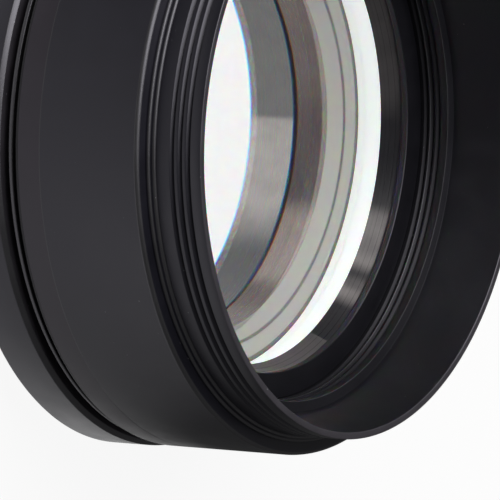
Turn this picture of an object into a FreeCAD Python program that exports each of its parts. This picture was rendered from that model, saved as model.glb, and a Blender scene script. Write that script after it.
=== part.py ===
import FreeCAD, Part
import math
import os

# Screw-in auxiliary lens for a stereo microscope, in millimetres.
# The optical axis is +Z. The lens stands on its working end, z = 0 is the rear face of the
# nose and the threaded mouth that screws into the microscope is on top.

# Heights of the outside, from the rear face upwards
TOTAL_HEIGHT = 24.6
NOSE_HEIGHT = 2.9
FLANGE_HEIGHT = 3.92
FLANGE_BEVEL = 0.36
GAP_HEIGHT = 0.63
LOCK_RING_HEIGHT = 0.37
SHOULDER_DROP = 4.8

# Outside across the axis: the thread's crest, and each step out or in from its neighbour
THREAD_R = 24.0
STEP_ONE_OUT = 0.22
STEP_TWO_OUT = 0.28
SHOULDER_WIDTH = 1.08
FLANGE_PROUD = 0.1
LOCK_RING_SET_BACK = 0.38
NECK_SET_BACK = 2.78
NOSE_SET_BACK = 5.48
BARREL_BEVEL = 0.15
REAR_BEVEL = 0.22

# Male thread, M48 x 0.75, drawn as separate rings, and the two small steps behind it
THREAD_PITCH = 0.75
THREAD_TURNS = 3
THREAD_DEPTH = 0.40
THREAD_LEAD_IN = 0.82
LAND_DROP = 4.12
STEP_RISE = 0.35

# Mouth, inner thread and lens pocket
RIM_WALL = 0.55
MOUTH_DEPTH = 5.42
MOUTH_NARROW = 1.3
MOUTH_LEDGE = 0.85
INNER_THREAD_DEPTH = 0.35
INNER_THREAD_TURNS = 2
INNER_THREAD_LEAD_IN = 0.25
POCKET_LEDGE = 2.45
LENS_FIT = 0.05
RING_DEPTH = 8.0

# Retaining ring in the mouth
RING_HEIGHT = 2.22
RING_TOP_WIDTH = 2.1
RING_OVERLAP = 0.22
RING_BORE_STEP = 0.8
RING_BORE_RELIEF = 0.16
RING_THREAD_FIT = 0.05
RING_SLOT_WIDTH = 1.6
RING_SLOT_DEPTH = 0.9
RING_SLOT_TURN = 55.0

# Cemented pair of lenses
FRONT_LENS_EDGE = 5.0
REAR_LENS_EDGE = 2.8
FRONT_CURVE_R = 120.0
CEMENT_CURVE_R = 90.0
REAR_CURVE_R = 130.0

# Seat behind the lenses and bore of the working end
SEAT_WIDTH = 2.25
SEAT_TAPER = 0.75
SEAT_TAPER_RISE = 0.7
NOSE_WEB = 3.5
NOSE_BORE_STEP = 0.2
NOSE_BORE_FLARE = 0.15
NOSE_FIT = 0.05

# Distances from the axis that follow from the sizes above
STEP_R = THREAD_R + STEP_ONE_OUT
ROOT_R = STEP_R + STEP_TWO_OUT
BARREL_R = ROOT_R + SHOULDER_WIDTH
FLANGE_R = BARREL_R + FLANGE_PROUD
LOCK_RING_R = BARREL_R - LOCK_RING_SET_BACK
NECK_R = BARREL_R - NECK_SET_BACK
NOSE_R = FLANGE_R - NOSE_SET_BACK
MOUTH_R = THREAD_R - RIM_WALL
INNER_THREAD_R = MOUTH_R - MOUTH_NARROW - MOUTH_LEDGE
POCKET_R = INNER_THREAD_R - POCKET_LEDGE
RING_BORE_TOP_R = INNER_THREAD_R - RING_TOP_WIDTH
RING_BORE_LOW_R = POCKET_R - RING_OVERLAP
SEAT_R = POCKET_R - SEAT_WIDTH
THROAT_R = SEAT_R - SEAT_TAPER
NOSE_BORE_TOP_R = THROAT_R + NOSE_BORE_STEP
NOSE_BORE_LOW_R = NOSE_BORE_TOP_R + NOSE_BORE_FLARE


def revolved(profile):
    """Turn a closed outline of (radius, height) points round the optical axis."""
    points = [FreeCAD.Vector(radius, 0, height) for radius, height in profile]
    face = Part.Face(Part.makePolygon(points + points[:1]))
    return face.revolve(FreeCAD.Vector(0, 0, 0), FreeCAD.Vector(0, 0, 1), 360)


def vee_rings(crest_r, depth, turns, top):
    """Outline of a run of V grooves, from the top downwards.

    A positive depth cuts towards the axis, as on a male thread, and a negative one away from it.
    """
    points = []
    for turn in range(turns):
        groove_top = top - turn * THREAD_PITCH
        points.append((crest_r, groove_top))
        points.append((crest_r - depth, groove_top - THREAD_PITCH / 2))
    points.append((crest_r, top - turns * THREAD_PITCH))
    return points


def upper_bevel(corner_r, corner_z, size):
    """The two points that break an outer corner facing up the axis."""
    return [(corner_r - size, corner_z), (corner_r, corner_z - size)]


def lower_bevel(corner_r, corner_z, size):
    """The two points that break an outer corner facing down the axis."""
    return [(corner_r, corner_z + size), (corner_r - size, corner_z)]


def sag(curve_r, reach):
    """Depth of a spherical cap over the given reach."""
    return curve_r - math.sqrt(curve_r ** 2 - reach ** 2)


def ball(curve_r, height, reach):
    """Ball with its centre on the axis, whose upper side has the given height at the given reach.

    Its poles lie sideways, away from the lens, so that the polished faces are cut from its girdle.
    """
    centre = height + sag(curve_r, reach) - curve_r
    return Part.makeSphere(curve_r, FreeCAD.Vector(0, 0, centre), FreeCAD.Vector(1, 0, 0))


mouth_floor = TOTAL_HEIGHT - MOUTH_DEPTH
ring_top = TOTAL_HEIGHT - RING_DEPTH
ring_low = ring_top - RING_HEIGHT
lens_r = POCKET_R - LENS_FIT
lens_top = ring_low + sag(FRONT_CURVE_R, RING_BORE_LOW_R) - sag(FRONT_CURVE_R, lens_r)
cement_height = lens_top - FRONT_LENS_EDGE
seat_height = cement_height - REAR_LENS_EDGE
barrel_top = TOTAL_HEIGHT - SHOULDER_DROP
flange_top = NOSE_HEIGHT + FLANGE_HEIGHT
lock_ring_low = flange_top + GAP_HEIGHT
lock_ring_high = lock_ring_low + LOCK_RING_HEIGHT
barrel_low = lock_ring_high + GAP_HEIGHT
land_low = TOTAL_HEIGHT - LAND_DROP
step_low = land_low - STEP_RISE


def housing():
    """Barrel, male thread, lens pocket and neck, turned from one bar."""
    mouth_edge = [(MOUTH_R, TOTAL_HEIGHT), (THREAD_R, TOTAL_HEIGHT)]
    thread = vee_rings(THREAD_R, THREAD_DEPTH, THREAD_TURNS, TOTAL_HEIGHT - THREAD_LEAD_IN)
    steps = [(THREAD_R, land_low), (STEP_R, land_low),
             (STEP_R, step_low), (ROOT_R, step_low),
             (ROOT_R, barrel_top)]
    barrel = upper_bevel(BARREL_R, barrel_top, BARREL_BEVEL) + lower_bevel(BARREL_R, barrel_low, REAR_BEVEL)
    neck = [(NECK_R, barrel_low), (NECK_R, NOSE_WEB)]
    bore = [(THROAT_R, NOSE_WEB),
            (THROAT_R, seat_height - SEAT_TAPER_RISE),
            (SEAT_R, seat_height),
            (POCKET_R, seat_height),
            (POCKET_R, ring_low)]
    inner_thread = vee_rings(INNER_THREAD_R, -INNER_THREAD_DEPTH, INNER_THREAD_TURNS,
                             mouth_floor - INNER_THREAD_LEAD_IN)
    pocket = [(INNER_THREAD_R, ring_low)] + inner_thread[::-1]
    mouth = [(INNER_THREAD_R, mouth_floor), (MOUTH_R - MOUTH_NARROW, mouth_floor)]
    return revolved(mouth_edge + thread + steps + barrel + neck + bore + pocket + mouth)


def locking_ring():
    """Thin ring between the barrel and the flange, slid on the neck."""
    bore_r = NECK_R + NOSE_FIT
    return revolved([(bore_r, lock_ring_low), (LOCK_RING_R, lock_ring_low),
                     (LOCK_RING_R, lock_ring_high), (bore_r, lock_ring_high)])


def rear_flange():
    """Wide ring and nose of the working end, screwed on the neck of the housing."""
    bore_r = NECK_R + NOSE_FIT
    web_height = NOSE_WEB - NOSE_FIT
    nose = [(NOSE_BORE_LOW_R, 0), (NOSE_R, 0)] + lower_bevel(FLANGE_R, NOSE_HEIGHT, REAR_BEVEL)[::-1]
    rim = [(FLANGE_R, flange_top - FLANGE_BEVEL), (FLANGE_R - FLANGE_BEVEL, flange_top)]
    web = [(bore_r, flange_top), (bore_r, web_height), (NOSE_BORE_TOP_R, web_height)]
    return revolved(nose + rim + web)


def retaining_ring():
    """Slotted ring in the inner thread that holds the lenses on their seat."""
    outer_r = INNER_THREAD_R - RING_THREAD_FIT
    step_height = ring_top - RING_BORE_STEP
    ring = revolved([(outer_r, ring_low), (outer_r, ring_top), (RING_BORE_TOP_R, ring_top),
                     (RING_BORE_TOP_R, step_height),
                     (RING_BORE_TOP_R + RING_BORE_RELIEF, step_height),
                     (RING_BORE_LOW_R, ring_low)])
    slot = Part.makeBox(2 * INNER_THREAD_R, RING_SLOT_WIDTH, RING_HEIGHT)
    slot.translate(FreeCAD.Vector(-INNER_THREAD_R, -RING_SLOT_WIDTH / 2, ring_top - RING_SLOT_DEPTH))
    slot.rotate(FreeCAD.Vector(0, 0, 0), FreeCAD.Vector(0, 0, 1), RING_SLOT_TURN)
    return ring.cut(slot)


def front_lens():
    """Thick element that shows in the mouth, domed towards it and hollow behind."""
    dome = sag(FRONT_CURVE_R, lens_r)
    blank = Part.makeCylinder(lens_r, FRONT_LENS_EDGE + dome, FreeCAD.Vector(0, 0, cement_height))
    domed = blank.common(ball(FRONT_CURVE_R, lens_top, lens_r))
    return domed.cut(ball(CEMENT_CURVE_R, cement_height, lens_r))


def rear_lens():
    """Thin element, cemented in the hollow of the front one and hollow behind too."""
    dome = sag(CEMENT_CURVE_R, lens_r)
    blank = Part.makeCylinder(lens_r, REAR_LENS_EDGE + dome, FreeCAD.Vector(0, 0, seat_height))
    domed = blank.common(ball(CEMENT_CURVE_R, cement_height, lens_r))
    return domed.cut(ball(REAR_CURVE_R, seat_height, lens_r))


PIECES = {
    "housing": housing,
    "locking_ring": locking_ring,
    "rear_flange": rear_flange,
    "retaining_ring": retaining_ring,
    "front_lens": front_lens,
    "rear_lens": rear_lens,
}

os.makedirs("parts", exist_ok=True)
for name, build in PIECES.items():
    build().exportStep("parts/" + name + ".step")
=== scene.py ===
import math

import bmesh
import bpy
from mathutils import Matrix, Vector


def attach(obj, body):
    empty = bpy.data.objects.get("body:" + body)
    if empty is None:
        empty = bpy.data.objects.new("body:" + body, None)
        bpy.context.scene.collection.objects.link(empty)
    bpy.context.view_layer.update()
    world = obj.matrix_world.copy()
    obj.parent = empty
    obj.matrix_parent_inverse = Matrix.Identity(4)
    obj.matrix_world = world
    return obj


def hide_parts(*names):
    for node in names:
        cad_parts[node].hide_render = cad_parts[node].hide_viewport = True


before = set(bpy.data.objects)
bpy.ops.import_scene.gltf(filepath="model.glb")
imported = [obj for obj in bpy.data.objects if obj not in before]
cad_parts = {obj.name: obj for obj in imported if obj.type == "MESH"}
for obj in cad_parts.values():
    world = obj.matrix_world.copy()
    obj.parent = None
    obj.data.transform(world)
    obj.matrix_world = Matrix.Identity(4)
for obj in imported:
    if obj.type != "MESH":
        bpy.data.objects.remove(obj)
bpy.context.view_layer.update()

# Auxiliary microscope lens, standing on its working end with the threaded mouth on top.
# Lengths are in millimetres: heights along the optical axis (z) and distances from it (r).

MM = 0.001
ROUND_STEPS = 288
LENS_STEPS = 360
CAP_STEPS = 30
AXIS = Vector((0, 0, 1))
NEAR = 0.01
MERGE = 0.0001

# Heights, from the top down
MOUTH = 24.6
THREAD_START = 23.78
LAND_LOW = 20.48
STEP_LOW = 20.13
SHOULDER = 19.8
CONE_END = 19.18
RING_TOP = 16.6
RING_LOW = 14.38
BARREL_LINE = 10.65
BARREL_LOW = 8.2
RIDGE_TOP = 7.82
RIDGE_LOW = 7.45
FLANGE_TOP = 6.82
SEAT = 6.55
TAPER_LOW = 5.87
JOINT = 3.5
FLANGE_LOW = 2.9

# Distances from the optical axis, from the outside in
FLANGE_R = 25.68
BARREL_R = 25.58
RIDGE_R = 25.2
STEP_TWO_R = 24.5
STEP_ONE_R = 24.22
THREAD_R = 24.0
MOUTH_R = 23.45
NECK_R = 22.8
CONE_END_R = 22.15
INNER_THREAD_R = 21.3
RING_R = 21.25
NOSE_R = 20.2
RELIEF_R = 19.36
RING_BORE_R = 19.2
POCKET_R = 18.85
LENS_R = 18.8
RING_LOW_R = 18.63
SEAT_R = 16.95
NOSE_MOUTH_R = 16.2
NOSE_BORE_R = 16.05
THROAT_R = 15.85

# Outer thread, drawn as separate grooves
PITCH = 0.75
TURNS = 3
THREAD_DEPTH = 0.3
CREST_FLAT = 0.33

# Inner thread: upper lip, root and lower lip of each groove
INNER_GROOVES = ((18.45, 18.25, 18.05), (17.88, 17.68, 17.48), (17.3, 17.1, 16.9))
INNER_DEPTH = 0.22
WORN_CREST = (17.26, 17.52)
CREST_REACH = 0.06

# Small sizes of the barrel, the working end and the gaps between pieces
LINE_DEPTH = 0.02
LINE_HALF = 0.06
# Width of the strip of painted shade on the seat, by the pocket wall
SEAT_SHADE = 0.45
SLIDING_FIT = 0.05
FLANGE_CHAMFER = (0.33, 0.36)
FLANGE_EASE = (0.1, 0.15)

# Bore and spanner slots of the retaining ring
RING_LIP = 0.45
RELIEF_TOP = RING_TOP - 0.6
RELIEF_LOW = RING_TOP - 0.8
SLOT_WIDTH = 1.6
SLOT_DEPTH = 0.9
SLOT_TURN = 55.0
SECTOR_GAP = 0.004

# Rounds on the edges
CREST_ROUND = 0.035
INNER_CREST_ROUND = 0.04
CONE_ROUND = 0.05
FLANGE_ROUND = 0.06
RING_ROUND = 0.06
RIM_ROUND = 0.07
RIDGE_ROUND = 0.1
SEAT_ROUND = 0.13
STEP_ROUND = 0.19
JOINT_ROUND = 0.2
SHOULDER_ROUND = 0.36
REAR_ROUND = 0.42

# How far a face leans up (or down, when negative) to count as a worn edge, or as a face under painted
# shade
WORN_LEAN = 0.1
FLANGE_LEAN = 0.2
FLAT_LEAN = 0.98
SHADED_LEAN = -0.12

# Cemented pair: curves of its three faces, heights of their rims, and the two glasses
FRONT_CURVE = 120.0
CEMENT_CURVE = 90.0
REAR_CURVE = 130.0
FRONT_RIM = 14.353
CEMENT_RIM = 9.353
REAR_RIM = 6.553
CEMENT_GAP = 0.004
CROWN_INDEX = 1.52
FLINT_INDEX = 1.62
COLOUR_SPREAD = 0.003

# Edges that turn by more degrees than this stay sharp
SHARP_TURN = 35
SHARP_LENS = 30


def outline(points):
    """A wire of (r, z) corners in the plane y = 0, closed into a loop."""
    wire = bmesh.new()
    corners = [wire.verts.new((r * MM, 0, z * MM)) for r, z in points]
    for first, second in zip(corners, corners[1:] + corners[:1]):
        wire.edges.new((first, second))
    return wire


def ease(wire, places, size, segments=3):
    """Break the corners of the wire at the given (r, z) places with a small round."""
    picked = []
    for r, z in places:
        spot = Vector((r * MM, 0, z * MM))
        picked.append(min(wire.verts, key=lambda corner: (corner.co - spot).length))
    bmesh.ops.bevel(wire, geom=picked, offset=size * MM, offset_type="OFFSET", affect="VERTICES",
                    segments=segments, profile=0.5, material=-1)


def close_up(skin):
    """Merge corners that lie on each other, and set every face outwards."""
    bmesh.ops.remove_doubles(skin, verts=skin.verts[:], dist=MERGE * MM)
    bmesh.ops.recalc_face_normals(skin, faces=skin.faces[:])


def turn(wire, steps):
    """Turn the wire all the way round the optical axis."""
    bmesh.ops.spin(wire, geom=wire.verts[:] + wire.edges[:], cent=(0, 0, 0), axis=AXIS,
                   angle=math.tau, steps=steps, use_merge=True)
    close_up(wire)


def sector(corners, start, sweep, steps):
    """Part of a ring: a closed outline swept from a start angle, with both ends capped."""
    wire = outline(corners)
    bmesh.ops.contextual_create(wire, geom=wire.verts[:] + wire.edges[:])
    bmesh.ops.rotate(wire, verts=wire.verts[:], cent=(0, 0, 0), matrix=Matrix.Rotation(start, 3, "Z"))
    bmesh.ops.spin(wire, geom=wire.verts[:] + wire.edges[:] + wire.faces[:], cent=(0, 0, 0),
                   axis=AXIS, angle=sweep, steps=steps)
    close_up(wire)
    return wire


def joined(parts):
    """Several skins as one."""
    whole = bmesh.new()
    for part in parts:
        mesh = bpy.data.meshes.new("part")
        part.to_mesh(mesh)
        part.free()
        whole.from_mesh(mesh)
        bpy.data.meshes.remove(mesh)
    return whole


def piece(name, skin, finishes, node, chosen=None, sharp=SHARP_TURN):
    """Make an object of a skin and put it in the node's place.

    chosen picks one of the finishes from a face's distance from the axis, its height and how far
    it leans up. Without it the whole piece has the first finish.
    """
    if chosen:
        for face in skin.faces:
            middle = face.calc_center_median()
            r = math.hypot(middle.x, middle.y) / MM
            face.material_index = finishes.index(chosen(r, middle.z / MM, face.normal.z))
    mesh = bpy.data.meshes.new(name)
    skin.to_mesh(mesh)
    skin.free()
    for finish in finishes:
        mesh.materials.append(finish)
    mesh.polygons.foreach_set("use_smooth", [True] * len(mesh.polygons))
    mesh.set_sharp_from_angle(angle=math.radians(sharp))
    made = bpy.data.objects.new(name, mesh)
    bpy.context.scene.collection.objects.link(made)
    weighted = made.modifiers.new("true flats", "WEIGHTED_NORMAL")
    weighted.mode = "FACE_AREA"
    weighted.keep_sharp = True
    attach(made, "root")
    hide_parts(node)


class Finish:
    """Short hand for building a material's nodes."""

    def __init__(self, name):
        self.made = bpy.data.materials.new(name)
        self.made.use_nodes = True
        self.tree = self.made.node_tree
        self.tree.nodes.clear()
        self.out = self.node("ShaderNodeOutputMaterial")

    def link(self, source, target):
        self.tree.links.new(source, target)

    def put(self, socket, value):
        """Link a socket to a node's output, or set it to a plain value."""
        if isinstance(value, bpy.types.NodeSocket):
            self.link(value, socket)
        else:
            socket.default_value = value

    def node(self, kind, **settings):
        new = self.tree.nodes.new(kind)
        for key, value in settings.items():
            setattr(new, key, value)
        return new

    def math(self, operation, *values):
        new = self.node("ShaderNodeMath", operation=operation)
        for socket, value in zip(new.inputs, values):
            self.put(socket, value)
        return new.outputs[0]

    def measure(self):
        """Place on the piece in millimetres: spot, x, y, height, and across, the distance from
        the axis."""
        where = self.node("ShaderNodeTexCoord").outputs["Object"]
        scaled = self.node("ShaderNodeVectorMath", operation="SCALE")
        self.link(where, scaled.inputs[0])
        scaled.inputs["Scale"].default_value = 1 / MM
        self.spot = scaled.outputs[0]
        parts = self.node("ShaderNodeSeparateXYZ")
        self.link(self.spot, parts.inputs[0])
        self.x, self.y, self.height = parts.outputs
        squares = [self.math("MULTIPLY", side, side) for side in (self.x, self.y)]
        self.across = self.math("SQRT", self.math("ADD", *squares))

    def noise(self, scale, detail):
        """Noise in space, about the place on the piece."""
        new = self.node("ShaderNodeTexNoise")
        self.link(self.spot, new.inputs["Vector"])
        new.inputs["Scale"].default_value = scale
        new.inputs["Detail"].default_value = detail
        return new.outputs["Fac"]

    def tool_lines(self, across_share, height_share, scale, detail):
        """Noise along one number only, a mix of across and height, which makes turned lines."""
        along = self.math("ADD", self.math("MULTIPLY", self.height, height_share),
                          self.math("MULTIPLY", self.across, across_share))
        new = self.node("ShaderNodeTexNoise", noise_dimensions="1D")
        self.link(along, new.inputs["W"])
        new.inputs["Scale"].default_value = scale
        new.inputs["Detail"].default_value = detail
        return new.outputs["Fac"]

    def spread(self, value, low, high, to_low=0.0, to_high=1.0):
        """Stretch a value from one range to another, and keep it inside."""
        new = self.node("ShaderNodeMapRange")
        self.put(new.inputs["Value"], value)
        new.inputs["From Min"].default_value = low
        new.inputs["From Max"].default_value = high
        new.inputs["To Min"].default_value = to_low
        new.inputs["To Max"].default_value = to_high
        return new.outputs["Result"]

    def blend(self, factor, first, second):
        """Mix two colours."""
        new = self.node("ShaderNodeMix", data_type="RGBA")
        self.put(new.inputs[0], factor)
        self.put(new.inputs[6], first)
        self.put(new.inputs[7], second)
        return new.outputs[2]

    def bump(self, height, strength, distance):
        new = self.node("ShaderNodeBump")
        self.put(new.inputs["Height"], height)
        new.inputs["Strength"].default_value = strength
        new.inputs["Distance"].default_value = distance * MM
        return new.outputs[0]

    def surface(self, colour, roughness, normal, metallic=0.0, specular=0.5, sheen=(1, 1, 1)):
        """Put the finish's surface together; its shader."""
        shader = self.node("ShaderNodeBsdfPrincipled")
        self.put(shader.inputs["Base Color"], colour)
        self.put(shader.inputs["Roughness"], roughness)
        shader.inputs["Metallic"].default_value = metallic
        shader.inputs["Specular IOR Level"].default_value = specular
        shader.inputs["Specular Tint"].default_value = (*sheen, 1)
        self.link(normal, shader.inputs["Normal"])
        self.link(shader.outputs[0], self.out.inputs["Surface"])
        return shader


VIOLET_SHEEN = (0.93, 0.9, 1.0)
BLOTCH_LIFT = 1.35
DUST_SHARE = 0.6
DUST_EDGE = (0.81, 0.82)
FINE_RISE = 0.5
GRAIN_RISE = 0.3
LINE_SHADE = 0.9


def anodise(name, colour, dust_colour, roughness, specular):
    """Black anodised turned metal: fine turned lines, soft blotches and pale specks of dust."""
    finish = Finish(name)
    finish.measure()
    fine = finish.tool_lines(across_share=0.83, height_share=1.0, scale=26.0, detail=3.0)
    blotch = finish.noise(scale=0.35, detail=3.0)
    grain = finish.noise(scale=9.0, detail=2.0)
    dust = finish.spread(finish.noise(scale=3.6, detail=1.0), *DUST_EDGE)
    lighter = [share * BLOTCH_LIFT for share in colour]
    tint = finish.blend(finish.spread(blotch, 0.3, 0.7), (*colour, 1), (*lighter, 1))
    tint = finish.blend(finish.math("MULTIPLY", dust, DUST_SHARE), tint, (*dust_colour, 1))
    fine_rough = finish.spread(fine, 0.3, 0.7, to_low=-0.03, to_high=0.03)
    blotch_rough = finish.spread(blotch, 0.25, 0.75, to_low=roughness - 0.04, to_high=roughness + 0.05)
    rough = finish.math("ADD", fine_rough, blotch_rough)
    rise = finish.math("ADD", finish.math("MULTIPLY", fine, FINE_RISE),
                       finish.math("MULTIPLY", grain, GRAIN_RISE))
    normal = finish.bump(rise, strength=0.25, distance=0.01)
    finish.surface(tint, rough, normal, specular=specular, sheen=VIOLET_SHEEN)
    return finish.made


FAN_REPEAT = math.tau / 3
FAN_DEGREES = 120


def painted_fans(finish, stops):
    """Fans of painted highlight and painted shade in a turned bore, as (degrees round the axis,
    brightness) stops.

    They run from -60 to 60 degrees and come again two more times round the bore.
    """
    angle = finish.math("ARCTAN2", finish.y, finish.x)
    part = finish.math("WRAP", angle, FAN_REPEAT / 2, -FAN_REPEAT / 2)
    ramp = finish.node("ShaderNodeValToRGB")
    finish.link(finish.spread(part, -FAN_REPEAT / 2, FAN_REPEAT / 2), ramp.inputs[0])
    ramp.color_ramp.interpolation = "EASE"
    elements = ramp.color_ramp.elements
    while len(elements) < len(stops):
        elements.new(0.5)
    for element, (degrees, level) in zip(elements, stops):
        element.position = (degrees + FAN_DEGREES / 2) / FAN_DEGREES
        element.color = (level, level, level, 1)
    return ramp.outputs[0]


def turned(name, colour, dim, stops, roughness, metallic=1.0, depth=0.02):
    """Turned bore: tool lines, and fans of painted highlight and painted shade laid over them round
    the axis.
    """
    finish = Finish(name)
    finish.measure()
    fine = finish.tool_lines(across_share=0.5, height_share=1.0, scale=9.0, detail=4.0)
    broken = finish.noise(scale=0.8, detail=2.0)
    lined = finish.spread(fine, 0.2, 0.7, to_low=0.75, to_high=1.1)
    uneven = finish.spread(broken, 0.3, 0.6, to_low=0.85, to_high=1.05)
    # The fans paint highlight and shade into the colour
    bright = finish.math("MULTIPLY", painted_fans(finish, stops), lined)
    bright = finish.math("MULTIPLY", bright, uneven)
    tint = finish.blend(bright, (*dim, 1), (*colour, 1))
    rough = finish.spread(fine, 0.25, 0.75, to_low=roughness - 0.06, to_high=roughness + 0.08)
    finish.surface(tint, rough, finish.bump(fine, strength=0.2, distance=depth), metallic=metallic)
    return finish.made


def matt(name, colour, roughness, painted_glow=0.0):
    """Matt surface with faint turned lines, and a painted glow: an emission that stands in for the
    light from the glass.
    """
    finish = Finish(name)
    finish.measure()
    fine = finish.tool_lines(across_share=1.0, height_share=0.7, scale=7.0, detail=3.0)
    darker = [share * LINE_SHADE for share in colour]
    tint = finish.blend(finish.spread(fine, 0.3, 0.7), (*darker, 1), (*colour, 1))
    shader = finish.surface(tint, roughness, finish.bump(fine, strength=0.15, distance=0.01))
    shader.inputs["Emission Color"].default_value = (*colour, 1)
    shader.inputs["Emission Strength"].default_value = painted_glow
    return finish.made


def glass(name, index):
    """Clear polished optical glass."""
    finish = Finish(name)
    shader = finish.node("ShaderNodeBsdfPrincipled")
    shader.inputs["Base Color"].default_value = (1, 1, 1, 1)
    shader.inputs["Roughness"].default_value = 0.0
    shader.inputs["IOR"].default_value = index
    shader.inputs["Transmission Weight"].default_value = 1.0
    finish.link(shader.outputs[0], finish.out.inputs["Surface"])
    return finish.made


def spreading_glass(name, index, spread):
    """Polished face that bends red, green and blue light a little differently."""
    finish = Finish(name)
    shares = []
    for number, colour in enumerate(((1, 0, 0), (0, 1, 0), (0, 0, 1))):
        shader = finish.node("ShaderNodeBsdfGlass")
        shader.inputs["Color"].default_value = (*colour, 1)
        shader.inputs["Roughness"].default_value = 0.0
        shader.inputs["IOR"].default_value = index + (number - 1) * spread
        shares.append(shader.outputs[0])
    total = shares[0]
    for share in shares[1:]:
        both = finish.node("ShaderNodeAddShader")
        finish.link(total, both.inputs[0])
        finish.link(share, both.inputs[1])
        total = both.outputs[0]
    finish.link(total, finish.out.inputs["Surface"])
    return finish.made


def cemented(name):
    """The face of the front element that the cement joins: light goes straight on."""
    finish = Finish(name)
    shader = finish.node("ShaderNodeBsdfTransparent")
    finish.link(shader.outputs[0], finish.out.inputs["Surface"])
    return finish.made


# Black finishes: colour, colour of the dust, roughness and gloss
BLACK = anodise("black_anodise", (0.007, 0.0068, 0.0105), (0.25, 0.25, 0.26), 0.38, 0.56)
INNER_BLACK = anodise("inner_black", (0.0022, 0.0022, 0.0034), (0.2, 0.2, 0.2), 0.45, 0.42)
# A darker copy of the black: painted shade where the barrel lies in shade
PAINTED_SHADE_BLACK = anodise("painted_shade_black", (0.002, 0.002, 0.0028), (0.25, 0.25, 0.25), 0.5, 0.32)
# Worn, lighter rim of the mouth; on the flange's shaded top in the gap the same finish is painted
# light
WORN_RIM_AND_PAINTED_LIGHT = anodise("worn_rim_and_painted_light", (0.026, 0.0235, 0.028), (0.3, 0.3, 0.32), 0.43, 0.8)
REAR_BAND = anodise("rear_band", (0.0105, 0.0078, 0.0115), (0.25, 0.25, 0.26), 0.4, 0.56)
WORN = anodise("worn_corner", (0.012, 0.012, 0.012), (0.3, 0.3, 0.32), 0.43, 1.0)

# Bores: fans of painted highlight and painted shade, and then the bright and the dim colour, the
# painted fans and the roughness
RING_PAINTED_FANS = [(-60, 0.05), (-48, 0.08), (-43, 1.0), (-40, 0.45), (-37, 0.12), (-33, 1.0),
             (-29, 0.7), (-22, 0.85), (-17, 0.06), (-6, 0.03), (2, 0.06), (12, 0.3), (60, 0.35)]
BORE_PAINTED_FANS = [(-60, 0.1), (-38, 0.05), (-20, 0.95), (-8, 1.0), (2, 0.9), (4, 0.25), (60, 0.2)]
THROAT_PAINTED_FANS = [(-60, 0.3), (-52, 0.3), (-44, 1.0), (-26, 0.9), (-18, 0.1), (0, 0.15),
               (20, 0.35), (60, 0.4)]
RING_BLACK = turned("ring_black", (0.165, 0.15, 0.148), (0.0035, 0.0035, 0.006), RING_PAINTED_FANS, 0.3,
                    metallic=0.0, depth=0.012)
BORE = turned("bare_bore", (0.5, 0.475, 0.455), (0.1, 0.105, 0.11), BORE_PAINTED_FANS, 0.28)
THROAT = turned("dull_throat", (0.36, 0.3, 0.28), (0.075, 0.062, 0.064), THROAT_PAINTED_FANS, 0.25)

# Matt faces: colour and roughness
LEDGE = matt("bare_ledge", (0.35, 0.345, 0.32), 0.5)
# Painted shade in the corner between the seat and the pocket wall
LEDGE_PAINTED_SHADE = matt("ledge_painted_shade", (0.03, 0.022, 0.02), 0.6)
# The ground edge is white of its own; its glow is painted light
GROUND = matt("ground_edge", (0.94, 0.97, 0.96), 0.6, painted_glow=0.5)

# Faces of the cemented pair
CROWN = spreading_glass("front_face", CROWN_INDEX, COLOUR_SPREAD)
FLINT = glass("rear_face", FLINT_INDEX)
JOINED = glass("cemented_glass", FLINT_INDEX / CROWN_INDEX)
CEMENT = cemented("cement_face")


def outer_grooves():
    """Corners of the outer thread's V grooves, with flat crests between, from the top down."""
    corners = []
    for number in range(TURNS):
        top = THREAD_START - number * PITCH
        corners += [(THREAD_R, top - CREST_FLAT / 2),
                    (THREAD_R - THREAD_DEPTH, top - PITCH / 2),
                    (THREAD_R, top - PITCH + CREST_FLAT / 2)]
    return corners


def inner_grooves():
    """Corners of the inner thread's V grooves, from the bottom up."""
    corners = []
    for upper, root, lower in INNER_GROOVES[::-1]:
        corners += [(INNER_THREAD_R, lower), (INNER_THREAD_R + INNER_DEPTH, root),
                    (INNER_THREAD_R, upper)]
    return corners


def barrel_finish(r, z, lean):
    """Finish of each part of the barrel: its worn corners first, then from the mouth inwards; some get
    painted shade.
    """
    outer_corner = r > THREAD_R and z < LAND_LOW + STEP_ROUND + NEAR
    cone_corner = abs(z - CONE_END) < CONE_ROUND + NEAR and r < INNER_THREAD_R + 2 * CONE_ROUND
    inner_crest = WORN_CREST[0] < z < WORN_CREST[1] and r < INNER_THREAD_R + CREST_REACH
    if WORN_LEAN < lean < FLAT_LEAN and (outer_corner or cone_corner or inner_crest):
        return WORN
    if z > MOUTH - RIM_ROUND - NEAR:
        return WORN_RIM_AND_PAINTED_LIGHT
    # On the rear band, faces that lean down get painted shade
    if r > BARREL_R - REAR_ROUND - NEAR and z < BARREL_LINE:
        return PAINTED_SHADE_BLACK if lean < SHADED_LEAN else REAR_BAND
    if POCKET_R - SEAT_SHADE < r < POCKET_R and abs(z - SEAT) < NEAR:
        return LEDGE_PAINTED_SHADE
    # The inner thread below the cone gets painted shade
    if r < MOUTH_R and z > RING_LOW - NEAR:
        return PAINTED_SHADE_BLACK if z < CONE_END - 2 * CONE_ROUND else INNER_BLACK
    if r < THROAT_R + NEAR and z > JOINT + JOINT_ROUND:
        return THROAT
    on_seat = TAPER_LOW - NEAR < z < SEAT + NEAR and r < POCKET_R - NEAR
    if on_seat and abs(r - SEAT_R) > SEAT_ROUND + NEAR:
        return LEDGE
    return BLACK


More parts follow.
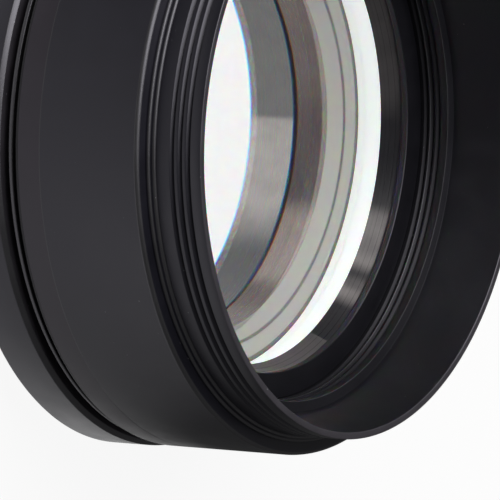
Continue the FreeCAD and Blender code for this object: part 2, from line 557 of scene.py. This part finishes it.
def barrel():
    """Barrel with its outer thread, steps, mouth, inner thread, lens pocket, seat and neck."""
    thread = outer_grooves()
    inner = inner_grooves()
    corners = [(MOUTH_R, MOUTH), (THREAD_R, MOUTH)] + thread
    corners += [(THREAD_R, LAND_LOW), (STEP_ONE_R, LAND_LOW), (STEP_ONE_R, STEP_LOW),
                (STEP_TWO_R, STEP_LOW), (STEP_TWO_R, SHOULDER), (BARREL_R, SHOULDER),
                (BARREL_R, BARREL_LINE + LINE_HALF), (BARREL_R - LINE_DEPTH, BARREL_LINE),
                (BARREL_R, BARREL_LINE - LINE_HALF), (BARREL_R, BARREL_LOW),
                (NECK_R, BARREL_LOW), (NECK_R, JOINT), (THROAT_R, JOINT),
                (THROAT_R, TAPER_LOW), (SEAT_R, SEAT), (POCKET_R - SEAT_SHADE, SEAT),
                (POCKET_R, SEAT), (POCKET_R, RING_LOW), (INNER_THREAD_R, RING_LOW)]
    corners += inner + [(INNER_THREAD_R, CONE_END), (CONE_END_R, CONE_END)]
    wire = outline(corners)
    ease(wire, [(THREAD_R, MOUTH), (MOUTH_R, MOUTH)], RIM_ROUND)
    ease(wire, thread, CREST_ROUND, 2)
    ease(wire, [(STEP_ONE_R, LAND_LOW), (STEP_TWO_R, STEP_LOW)], STEP_ROUND)
    ease(wire, [(BARREL_R, SHOULDER)], SHOULDER_ROUND, 5)
    ease(wire, inner, INNER_CREST_ROUND, 2)
    ease(wire, [(BARREL_R, BARREL_LOW)], REAR_ROUND, 5)
    ease(wire, [(CONE_END_R, CONE_END), (INNER_THREAD_R, CONE_END)], CONE_ROUND, 2)
    ease(wire, [(SEAT_R, SEAT)], SEAT_ROUND, 1)
    ease(wire, [(THROAT_R, JOINT)], JOINT_ROUND, 1)
    turn(wire, ROUND_STEPS)
    finishes = [BLACK, INNER_BLACK, LEDGE, THROAT, WORN, PAINTED_SHADE_BLACK, WORN_RIM_AND_PAINTED_LIGHT, REAR_BAND, LEDGE_PAINTED_SHADE]
    piece("barrel", wire, finishes, "housing", barrel_finish)


def ridge():
    """Thin ring on the neck, between the barrel and the flange."""
    bore_r = NECK_R + SLIDING_FIT
    edge = [(RIDGE_R, RIDGE_LOW), (RIDGE_R, RIDGE_TOP)]
    wire = outline([(bore_r, RIDGE_LOW)] + edge + [(bore_r, RIDGE_TOP)])
    ease(wire, edge, RIDGE_ROUND)
    turn(wire, ROUND_STEPS)
    piece("lock_ring", wire, [WORN], "locking_ring")


def working_end_finish(r, z, lean):
    """Finish of each part of the working end: bare bore with painted fans, worn chamfer, and the top
    in the gap with painted light.
    """
    if r < NOSE_MOUTH_R + 2 * NEAR and z < JOINT - SLIDING_FIT - JOINT_ROUND - NEAR:
        return BORE
    if r > FLANGE_R - FLANGE_CHAMFER[0] - 2 * NEAR and FLANGE_LEAN < lean < FLAT_LEAN:
        return WORN
    # The top in the gap lies in shade; the lighter rim finish there is painted light
    if z > FLANGE_TOP - NEAR:
        return WORN_RIM_AND_PAINTED_LIGHT
    return BLACK


def working_end():
    """Wide ring and nose of the working end, with the bore that the lens looks out of."""
    fit_r = NECK_R + SLIDING_FIT
    web_low = JOINT - SLIDING_FIT
    chamfer_in, chamfer_down = FLANGE_CHAMFER
    ease_in, ease_up = FLANGE_EASE
    chamfer = [(FLANGE_R, FLANGE_TOP - chamfer_down), (FLANGE_R - chamfer_in, FLANGE_TOP)]
    wire = outline([(NOSE_MOUTH_R, 0), (NOSE_R, 0), (FLANGE_R - ease_in, FLANGE_LOW),
                    (FLANGE_R, FLANGE_LOW + ease_up)] + chamfer
                   + [(fit_r, FLANGE_TOP), (fit_r, web_low), (NOSE_BORE_R, web_low)])
    ease(wire, chamfer + [(NOSE_MOUTH_R, 0)], FLANGE_ROUND)
    ease(wire, [(NOSE_BORE_R, web_low)], JOINT_ROUND, 1)
    turn(wire, ROUND_STEPS)
    piece("working_end", wire, [BLACK, BORE, WORN, WORN_RIM_AND_PAINTED_LIGHT], "rear_flange", working_end_finish)


def retainer_finish(r, z, lean):
    """Finish of the retaining ring: its tapered wall shows tool lines and painted highlights, the rest
    is plain.
    """
    return RING_BLACK if r < RELIEF_R and z < RELIEF_LOW - NEAR else INNER_BLACK


def retainer():
    """Retaining ring: a full ring below the spanner slots and two sectors between them."""
    floor_z = RING_TOP - SLOT_DEPTH
    taper = (RING_LOW_R - RELIEF_R) / (RELIEF_LOW - RING_LOW)
    floor_r = RELIEF_R + taper * (RELIEF_LOW - floor_z)
    low = outline([(RING_R, RING_LOW), (RING_R, floor_z), (floor_r, floor_z), (RING_LOW_R, RING_LOW)])
    turn(low, ROUND_STEPS)
    base_z = floor_z + SECTOR_GAP
    corners = [(RING_R, base_z), (RING_R, RING_TOP), (RING_BORE_R + RING_ROUND, RING_TOP),
               (RING_BORE_R, RING_TOP - RING_ROUND), (RING_BORE_R, RING_TOP - RING_LIP),
               (RELIEF_R, RELIEF_TOP), (RELIEF_R, RELIEF_LOW), (floor_r, base_z)]
    half_slot = math.asin(SLOT_WIDTH / (RING_R + RING_BORE_R))
    sides = [sector(corners, math.radians(turned_by) + half_slot, math.pi - 2 * half_slot,
                    ROUND_STEPS // 2)
             for turned_by in (SLOT_TURN, SLOT_TURN + 180)]
    piece("lens_retainer", joined([low] + sides), [INNER_BLACK, RING_BLACK], "retaining_ring",
          retainer_finish)


def polished(wire, curve, rim):
    """Swing a polished face's outline from the axis out to the rim of the lens; its last vert."""
    apex = rim + curve - math.sqrt(curve ** 2 - LENS_R ** 2)
    start = wire.verts.new((0, 0, apex * MM))
    swung = bmesh.ops.spin(wire, geom=[start], cent=(0, 0, (apex - curve) * MM), axis=(0, 1, 0),
                           angle=math.asin(LENS_R / curve), steps=CAP_STEPS)
    return next(item for item in swung["geom_last"] if isinstance(item, bmesh.types.BMVert))


def element(name, upper, lower, node):
    """A lens of two polished faces, each a (curve, height of the rim, finish), and a ground edge."""
    wire = bmesh.new()
    rims = [polished(wire, curve, rim) for curve, rim, finish in (upper, lower)]
    wire.edges.new(rims)
    turn(wire, LENS_STEPS)

    def element_finish(r, z, lean):
        if r > LENS_R - 2 * NEAR:
            return GROUND
        return upper[2] if lean > 0 else lower[2]

    piece(name, wire, [upper[2], lower[2], GROUND], node, element_finish, SHARP_LENS)


barrel()
ridge()
working_end()
retainer()
element("front_element", (FRONT_CURVE, FRONT_RIM, CROWN),
        (CEMENT_CURVE, CEMENT_RIM + CEMENT_GAP, CEMENT), "front_lens")
element("rear_element", (CEMENT_CURVE, CEMENT_RIM, JOINED), (REAR_CURVE, REAR_RIM, FLINT), "rear_lens")

# Camera, far off with a long lens: places in metres, the lens and the sensor in millimetres
CAMERA_PLACE = (-0.61264, 0.01228, 0.40615)
CAMERA_RIGHT = (0.53951, 0.04671, 0.84069)
CAMERA_UP = (0.0, 0.99846, -0.05547)
CAMERA_BACK = (-0.84198, 0.02993, 0.53868)
CAMERA_LENS = 654.77
CAMERA_SENSOR = 36.0
CAMERA_NEAREST = 0.01
CAMERA_FARTHEST = 20

view = bpy.data.cameras.new("camera")
view.sensor_width = CAMERA_SENSOR
view.lens = CAMERA_LENS
view.clip_start = CAMERA_NEAREST
view.clip_end = CAMERA_FARTHEST
camera = bpy.data.objects.new("camera", view)
bpy.context.scene.collection.objects.link(camera)
stance = Matrix((CAMERA_RIGHT, CAMERA_UP, CAMERA_BACK)).transposed().to_4x4()
stance.translation = Vector(CAMERA_PLACE)
camera.matrix_world = stance
bpy.context.scene.camera = camera

# Floor: white to the camera and through the glass, and it keeps the shadow. In gloss it shows a
# painted pool of light on the camera's side and a painted bright ring close round the lens, and is
# dark elsewhere. Its size is in metres, and the pool's place and reach are in millimetres.
FLOOR_SIZE = 6.0
PAPER_GREY = 0.8
POOL_PLACE = (-75.0, -35.0, 0.0)
POOL_STRETCH = (1.5, 1.0, 0.0)
POOL_REACH = (15.0, 85.0)
POOL_LEVELS = (0.95, 0.08)
CLOSE_REACH = (30.5, 36.5)
CLOSE_LEVELS = (0.95, 0.0)
THROUGH_LEVEL = 0.96
CAMERA_SHARE = 0.92

bpy.ops.mesh.primitive_plane_add(size=FLOOR_SIZE, location=(0, 0, 0))
floor = bpy.context.object
floor.name = "floor"
paper = Finish("floor_paper")
paper.measure()
plain = paper.node("ShaderNodeBsdfDiffuse")
plain.inputs["Color"].default_value = (PAPER_GREY, PAPER_GREY, PAPER_GREY, 1)
glow = paper.node("ShaderNodeEmission")
rays = paper.node("ShaderNodeLightPath").outputs
stretched = paper.node("ShaderNodeVectorMath", operation="MULTIPLY")
paper.link(paper.spot, stretched.inputs[0])
stretched.inputs[1].default_value = POOL_STRETCH
away = paper.node("ShaderNodeVectorMath", operation="DISTANCE")
paper.link(stretched.outputs[0], away.inputs[0])
away.inputs[1].default_value = POOL_PLACE
pool = paper.spread(away.outputs["Value"], *POOL_REACH, *POOL_LEVELS)
close = paper.spread(paper.across, *CLOSE_REACH, *CLOSE_LEVELS)
gloss = paper.math("MULTIPLY", rays["Is Glossy Ray"], paper.math("MAXIMUM", pool, close))
through = paper.math("MULTIPLY", rays["Is Transmission Ray"], THROUGH_LEVEL)
strength = paper.math("MAXIMUM", paper.math("MAXIMUM", gloss, through), rays["Is Camera Ray"])
paper.link(strength, glow.inputs["Strength"])
bent = paper.math("MAXIMUM", rays["Is Glossy Ray"], rays["Is Transmission Ray"])
share = paper.math("MAXIMUM", paper.math("MULTIPLY", rays["Is Camera Ray"], CAMERA_SHARE), bent)
mix = paper.node("ShaderNodeMixShader")
paper.link(share, mix.inputs[0])
paper.link(plain.outputs[0], mix.inputs[1])
paper.link(glow.outputs[0], mix.inputs[2])
paper.link(mix.outputs[0], paper.out.inputs["Surface"])
floor.data.materials.append(paper.made)

# Room: white to the camera and through the glass, and a dim soft light for the rest
ROOM_LIGHT = 0.12
ROOM_SEEN = 1.0

room = bpy.data.worlds.new("studio")
bpy.context.scene.world = room
room.use_nodes = True
tree = room.node_tree
sky = tree.nodes["Background"]
sky.inputs[0].default_value = (1, 1, 1, 1)
paths = tree.nodes.new("ShaderNodeLightPath")
level = tree.nodes.new("ShaderNodeMapRange")
level.inputs["To Min"].default_value = ROOM_LIGHT
level.inputs["To Max"].default_value = ROOM_SEEN
seen_by = tree.nodes.new("ShaderNodeMath")
seen_by.operation = "MAXIMUM"
tree.links.new(paths.outputs["Is Camera Ray"], seen_by.inputs[0])
tree.links.new(paths.outputs["Is Transmission Ray"], seen_by.inputs[1])
tree.links.new(seen_by.outputs[0], level.inputs["Value"])
tree.links.new(level.outputs[0], sky.inputs[1])

# One large soft lamp, before the mouth and above it as the camera sees it, in metres and watts
KEY_PLACE = Vector((-0.15, 0.33, 0.47))
KEY_TARGET = Vector((0, 0, 0.012))
KEY_SIZE = 0.6
KEY_POWER = 5

soft = bpy.data.lights.new("key_lamp", "AREA")
soft.shape = "RECTANGLE"
soft.size = KEY_SIZE
soft.size_y = KEY_SIZE
soft.energy = KEY_POWER
lamp = bpy.data.objects.new("key_lamp", soft)
bpy.context.scene.collection.objects.link(lamp)
lamp.location = KEY_PLACE
lamp.rotation_mode = "QUATERNION"
lamp.rotation_quaternion = (KEY_TARGET - KEY_PLACE).to_track_quat("-Z", "Y")

bpy.context.scene.view_settings.view_transform = "Standard"
